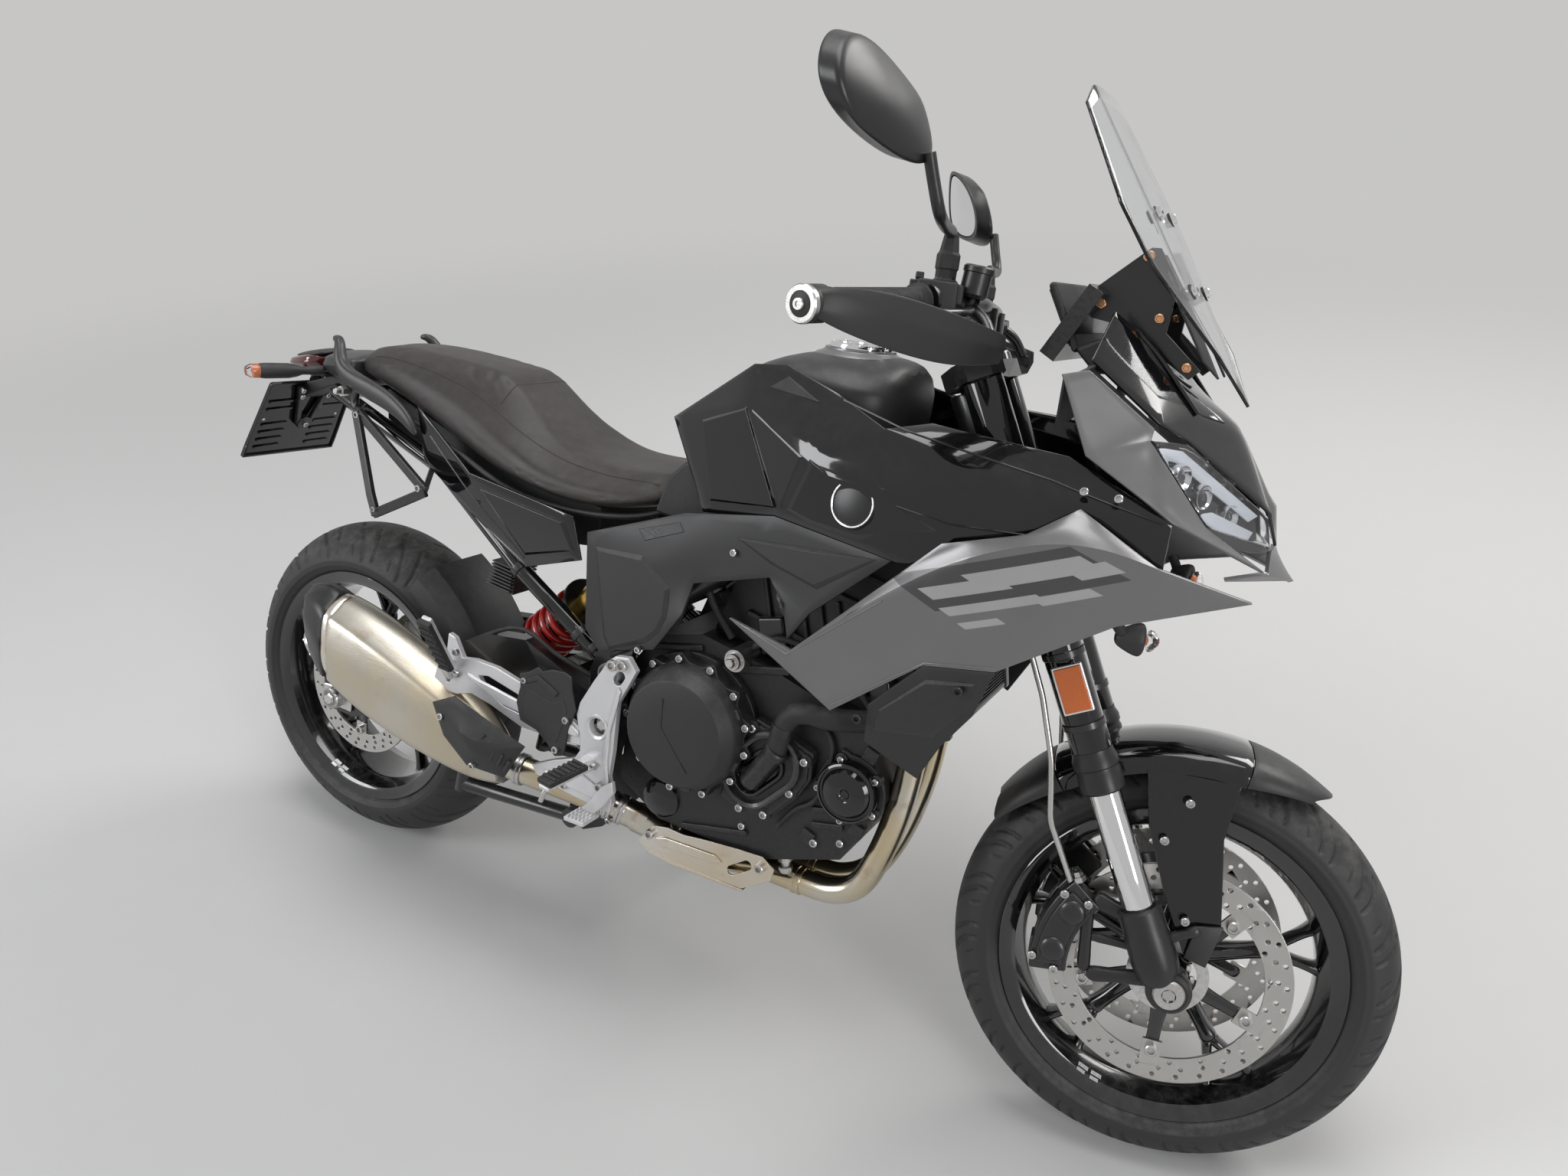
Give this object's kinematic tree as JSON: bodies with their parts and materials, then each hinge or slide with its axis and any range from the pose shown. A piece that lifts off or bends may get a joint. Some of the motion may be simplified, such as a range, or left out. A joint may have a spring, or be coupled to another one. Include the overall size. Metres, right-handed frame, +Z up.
{
  "type": "sport touring motorcycle",
  "caption": "Sport touring motorcycle parked on its side stand, with steering, spinning wheels, side and centre stands and a hinged fuel cap.",
  "frame": {"origin": "middle of the parked machine's footprint box, on the floor", "axes": "+X forward along the machine, +Y to the rider's left, +Z up; the machine leans 15 degrees to its left on the side stand"},
  "size_m": [2.131, 0.9558, 1.4793],
  "materials": {
    "chrome": "polished",
    "clear": "clear",
    "dark_grey": "matte",
    "disc_steel": "ground",
    "engine_black": "textured matte",
    "exhaust_steel": "brushed, warm tint",
    "frame_black": "satin",
    "gloss_black": "gloss",
    "gold": "anodised",
    "granite_grey": "satin metallic",
    "matte_black": "matte",
    "red_paint": "gloss",
    "rubber": "matte",
    "silver": "satin",
    "smoke": "smoked",
    "steel": "satin",
    "tyre": "matte",
    "vinyl": "matte, fine grain"
  },
  "bodies": {
    "chassis": {"main_frame": "frame_black", "swingarm_bolt": "steel", "seat_tray": "matte_black", "rear_subframe": "gloss_black", "swingarm": "frame_black", "rear_axle": "steel", "drive_chain": "steel", "rear_hugger": "matte_black", "engine_block": "engine_black", "clutch_cover": "engine_black", "engine_covers": "engine_black", "coolant_hose": "rubber", "exhaust_pipes": "exhaust_steel", "muffler": "exhaust_steel", "muffler_trim": "matte_black", "shock_absorber": "gold", "shock_spring": "red_paint", "footrest_plates": "silver", "footpegs": "rubber", "tank_cover": "dark_grey", "tank_side_panels": "gloss_black", "seat": "vinyl", "tail_panels": "gloss_black", "side_fairings": "granite_grey", "lower_side_panels": "matte_black", "nose_panels": "granite_grey", "nose_cowl": "gloss_black", "headlights": "clear", "windscreen": "clear", "display_carrier": "matte_black", "radiator": "frame_black", "radiator_shrouds": "matte_black", "tail_light": "smoke", "tail_unit": "matte_black", "luggage_rails": "frame_black", "indicators": "matte_black", "rear_caliper": "frame_black"},
    "steering": {"fork_outer_tubes": "gloss_black", "fork_inner_tubes": "chrome", "triple_clamps": "silver", "fork_feet_and_calipers": "frame_black", "front_axle": "steel", "front_fender": "gloss_black", "handlebar": "frame_black", "grips": "rubber", "handguards": "matte_black", "mirrors": "matte_black", "front_brake_hoses": "rubber"},
    "front_wheel": {"front_rim": "gloss_black", "front_tyre": "tyre", "front_brake_discs": "disc_steel"},
    "rear_wheel": {"rear_rim": "gloss_black", "rear_tyre": "tyre", "rear_disc_and_sprocket": "disc_steel"},
    "side_stand": {"side_stand": "frame_black"},
    "centre_stand": {"centre_stand": "frame_black"},
    "fuel_cap": {"fuel_cap": "silver"}
  },
  "joints": [
    {"name": "steering", "type": "hinge", "parent": "chassis", "child": "steering", "pos_m": [0.36806, -0.0173, 1.00978], "axis": [-0.4356, 0.2326, 0.8695], "range_deg": [-44.7, 21.3]},
    {"name": "front_wheel_spin", "type": "hinge", "parent": "steering", "child": "front_wheel", "pos_m": [0.77021, -0.20317, 0.28576], "axis": [-0.1833, 0.9228, -0.3387], "continuous": true},
    {"name": "rear_wheel_spin", "type": "hinge", "parent": "chassis", "child": "rear_wheel", "pos_m": [-0.75004, -0.20647, 0.3073], "axis": [-0.0008, 0.9659, -0.2588], "continuous": true},
    {"name": "side_stand_fold", "type": "hinge", "parent": "chassis", "child": "side_stand", "pos_m": [-0.0903, -0.07375, 0.22101], "axis": [-0.3052, 0.9496, -0.0718], "range_deg": [0, 109]},
    {"name": "centre_stand_swing", "type": "hinge", "parent": "chassis", "child": "centre_stand", "pos_m": [-0.20028, -0.22718, 0.2283], "axis": [0.0008, -0.9659, 0.2588], "range_deg": [0, 95]},
    {"name": "fuel_cap_lid", "type": "hinge", "parent": "chassis", "child": "fuel_cap", "pos_m": [0.24629, -0.00749, 1.04678], "axis": [-0.0008, 0.9659, -0.2588], "range_deg": [0, 95]}
  ]
}
